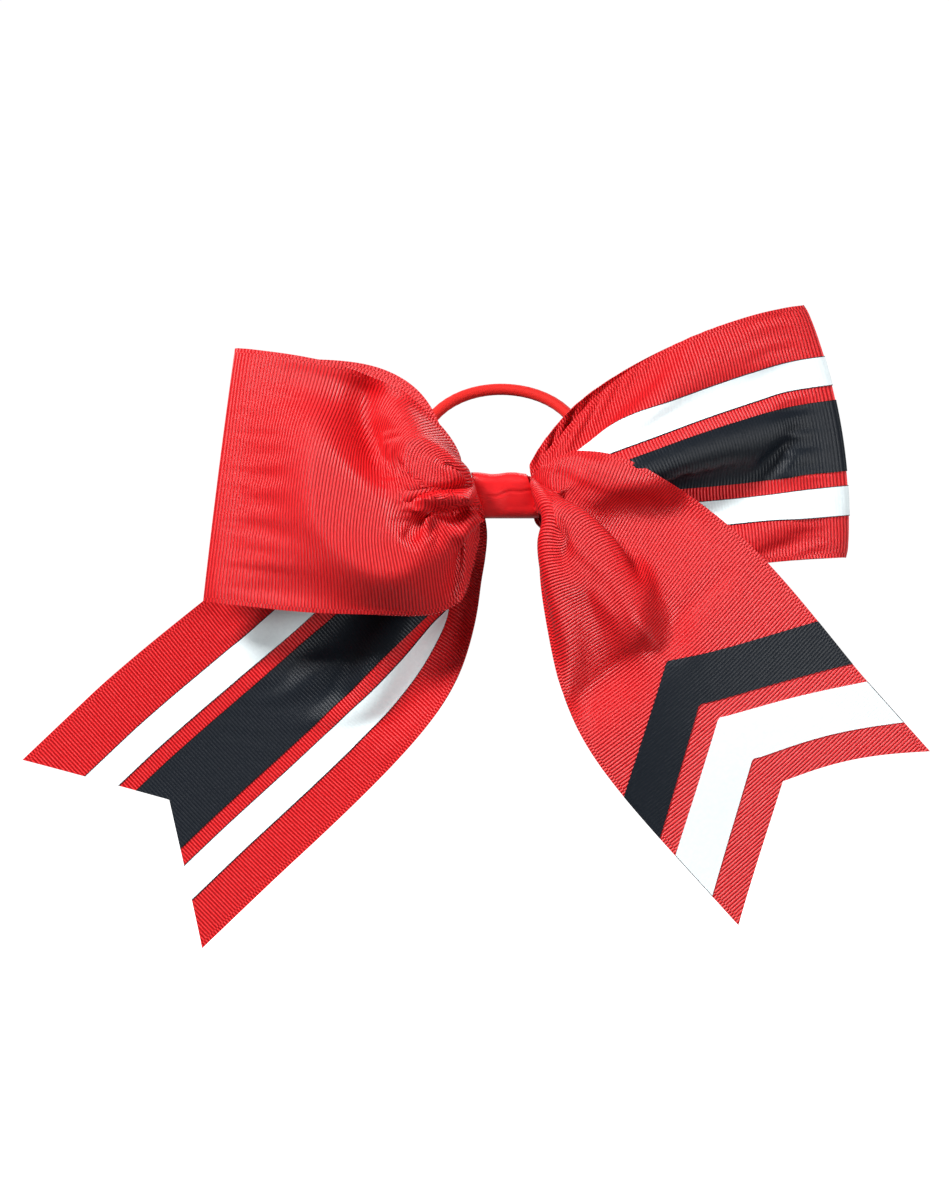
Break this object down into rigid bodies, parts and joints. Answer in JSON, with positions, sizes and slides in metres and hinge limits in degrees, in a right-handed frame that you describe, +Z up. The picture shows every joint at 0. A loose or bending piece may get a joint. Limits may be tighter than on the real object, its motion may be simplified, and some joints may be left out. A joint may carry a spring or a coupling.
{
  "type": "cheer hair bow",
  "caption": "Large cheerleading hair bow of two pleated grosgrain ribbons with looped sides and swallowtail ends, cinched by a centre wrap, with an elastic ring for a ponytail.",
  "frame": {"origin": "middle of the flat back of the knot, where the bow sits against the hair", "axes": "+Z up as worn, -Y out of the bow's front towards the viewer, +X to the viewer's right"},
  "size_m": [0.2635, 0.0494, 0.1881],
  "materials": {
    "solid_ribbon": "matte",
    "striped_ribbon": "matte",
    "white_film": "satin",
    "black_film": "satin",
    "wrap_ribbon": "satin",
    "hot_glue": "satin",
    "nylon": "satin",
    "elastic_cord": "matte",
    "elastic_sleeve": "satin"
  },
  "bodies": {
    "knot": {"centre_wrap": "wrap_ribbon", "solid_ribbon_gather": "solid_ribbon", "striped_ribbon_gather": "striped_ribbon", "zip_tie": "nylon", "wrap_glue_seam": "hot_glue", "knot_glue_dab": "hot_glue"},
    "left_loop": {"left_loop_ribbon": "solid_ribbon"},
    "right_loop": {"right_loop_ribbon": "striped_ribbon", "right_loop_white_stripe_upper": "white_film", "right_loop_black_stripe": "black_film", "right_loop_white_stripe_lower": "white_film"},
    "left_tail": {"left_tail_ribbon": "striped_ribbon", "left_tail_white_stripe_outer": "white_film", "left_tail_black_stripe": "black_film", "left_tail_white_stripe_inner": "white_film"},
    "right_tail": {"right_tail_ribbon": "solid_ribbon", "right_tail_black_chevron": "black_film", "right_tail_white_chevron": "white_film"},
    "elastic": {"hair_elastic": "elastic_cord", "elastic_joint": "elastic_sleeve"}
  },
  "joints": [
    {"name": "left_loop_flex", "type": "hinge", "parent": "knot", "child": "left_loop", "pos_m": [-0.0106, -0.0138, 0], "axis": [0, 0, 1], "range_deg": [0, 14], "stiffness_Nm_per_rad": 0.01},
    {"name": "right_loop_flex", "type": "hinge", "parent": "knot", "child": "right_loop", "pos_m": [0.0116, -0.0086, 0], "axis": [0, 0, 1], "range_deg": [-1, 10], "stiffness_Nm_per_rad": 0.01},
    {"name": "left_tail_flex", "type": "hinge", "parent": "knot", "child": "left_tail", "pos_m": [-0.0106, -0.0112, -0.002], "axis": [0.6899, 0, -0.7239], "range_deg": [-1, 15], "stiffness_Nm_per_rad": 0.01},
    {"name": "right_tail_flex", "type": "hinge", "parent": "knot", "child": "right_tail", "pos_m": [0.0116, -0.0164, -0.002], "axis": [-0.7403, 0, -0.6723], "range_deg": [-1, 18], "stiffness_Nm_per_rad": 0.01},
    {"name": "elastic_swing", "type": "hinge", "parent": "knot", "child": "elastic", "pos_m": [0, -0.00405, 0], "axis": [-1, 0, 0], "range_deg": [-16, 95]}
  ]
}
